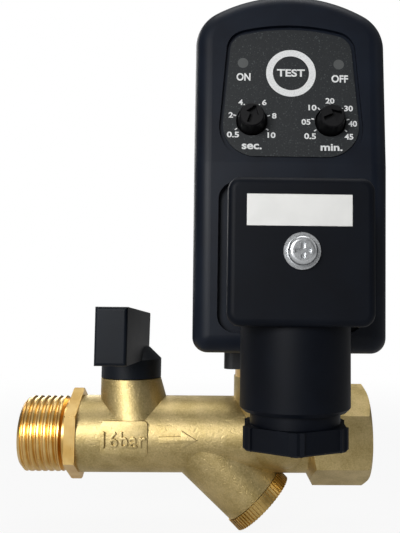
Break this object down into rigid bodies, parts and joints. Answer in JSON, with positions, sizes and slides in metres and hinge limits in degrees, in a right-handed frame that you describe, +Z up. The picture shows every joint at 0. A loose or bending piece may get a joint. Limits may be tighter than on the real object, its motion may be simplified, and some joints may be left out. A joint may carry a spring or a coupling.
{
  "type": "automatic drain valve",
  "caption": "Condensate drain valve: brass body with ball valve, Y strainer and solenoid, under a timer box with dials, test button and cable plug.",
  "frame": {"origin": "centre of the inlet flange's outer face, on the pipe axis, where the male thread starts", "axes": "+X along the flow towards the outlet, +Z up along the solenoid, -Y towards the dials and the cable plug"},
  "size_m": [0.0974, 0.0921, 0.139],
  "materials": {
    "cast_brass": "sand-cast, lightly blasted",
    "machined_brass": "turned",
    "chromed_brass": "polished",
    "white_seat": "plain",
    "black_rubber": "plain",
    "handle_plastic": "moulded, satin",
    "case_plastic": "moulded, fine texture",
    "connector_plastic": "moulded, satin",
    "coil_plastic": "moulded",
    "label_film": "printed film",
    "steel": "turned",
    "zinc_steel": "zinc plated",
    "copper": "enamelled wire",
    "contact_metal": "tinned",
    "board_green": "solder resist",
    "component_plastic": "moulded",
    "natural_plastic": "moulded",
    "lamp_lens": "clear, tinted"
  },
  "bodies": {
    "valve": {"inlet_nipple": "machined_brass", "valve_body": "cast_brass", "ball_seats": "white_seat", "armature_tube": "machined_brass", "bonnet_oring": "black_rubber", "plunger_spring": "steel", "fixed_core": "steel", "shading_ring": "copper", "coil_housing": "coil_plastic", "coil_yoke": "steel", "coil_bobbin": "natural_plastic", "coil_winding": "copper", "coil_washer": "zinc_steel", "coil_nut": "zinc_steel", "timer_case": "case_plastic", "timer_back": "case_plastic", "timer_back_screws": "zinc_steel", "panel_label": "label_film", "circuit_board": "board_green", "board_components": "component_plastic", "sec_potentiometer": "component_plastic", "min_potentiometer": "component_plastic", "test_switch": "component_plastic", "on_lamp": "lamp_lens", "off_lamp": "lamp_lens", "coil_blades": "contact_metal", "timer_blades": "contact_metal", "coil_gasket": "black_rubber", "connector_gasket": "black_rubber", "connector_housing": "connector_plastic", "terminal_block": "natural_plastic", "connector_contacts": "contact_metal", "connector_washer": "zinc_steel", "connector_screw": "zinc_steel", "gland_seal": "black_rubber", "gland_ring": "natural_plastic", "gland_nut": "connector_plastic"},
    "lever": {"handle": "handle_plastic", "handle_screw": "zinc_steel", "stem": "machined_brass", "stem_orings": "black_rubber", "ball": "chromed_brass"},
    "seconds_dial": {"sec_knob": "handle_plastic"},
    "minutes_dial": {"min_knob": "handle_plastic"},
    "test_key": {"test_button": "label_film"},
    "plunger_group": {"plunger": "steel", "plunger_seal": "black_rubber"},
    "screen_carrier": {"strainer_screen": "steel"},
    "screwed_cap": {"strainer_cap": "machined_brass", "cap_oring": "black_rubber"}
  },
  "joints": [
    {"name": "lever_turn", "type": "hinge", "parent": "valve", "child": "lever", "pos_m": [0.01635, 0, 0.02], "axis": [0, 0, 1], "range_deg": [-90, 0]},
    {"name": "seconds_dial_turn", "type": "hinge", "parent": "valve", "child": "seconds_dial", "pos_m": [0.04965, -0.04539, 0.08022], "axis": [0, -0.9942, 0.108], "range_deg": [-100, 140]},
    {"name": "minutes_dial_turn", "type": "hinge", "parent": "valve", "child": "minutes_dial", "pos_m": [0.06805, -0.04539, 0.08022], "axis": [0, -0.9942, 0.108], "range_deg": [-53, 187]},
    {"name": "test_press", "type": "slide", "parent": "valve", "child": "test_key", "axis": [0, 0.9942, -0.108], "range_m": [0, 0.0005], "stiffness_N_per_m": 400, "springref_m": -0.001},
    {"name": "plunger_rise", "type": "slide", "parent": "valve", "child": "plunger_group", "axis": [0, 0, 1], "range_m": [0, 0.0018], "stiffness_N_per_m": 400, "springref_m": -0.003, "deforming": ["plunger_spring"]},
    {"name": "screen_draw", "type": "slide", "parent": "valve", "child": "screen_carrier", "axis": [0.7071, 0, -0.7071], "range_m": [0, 0.0064]},
    {"name": "cap_unscrew", "type": "hinge", "parent": "screen_carrier", "child": "screwed_cap", "pos_m": [0.05194, 0, -0.01669], "axis": [0.7071, 0, -0.7071], "range_deg": [0, 1450]}
  ],
  "couplings": [
    {"joint": "cap_unscrew", "follows": "screen_draw", "rad_per_m": 3927}
  ]
}
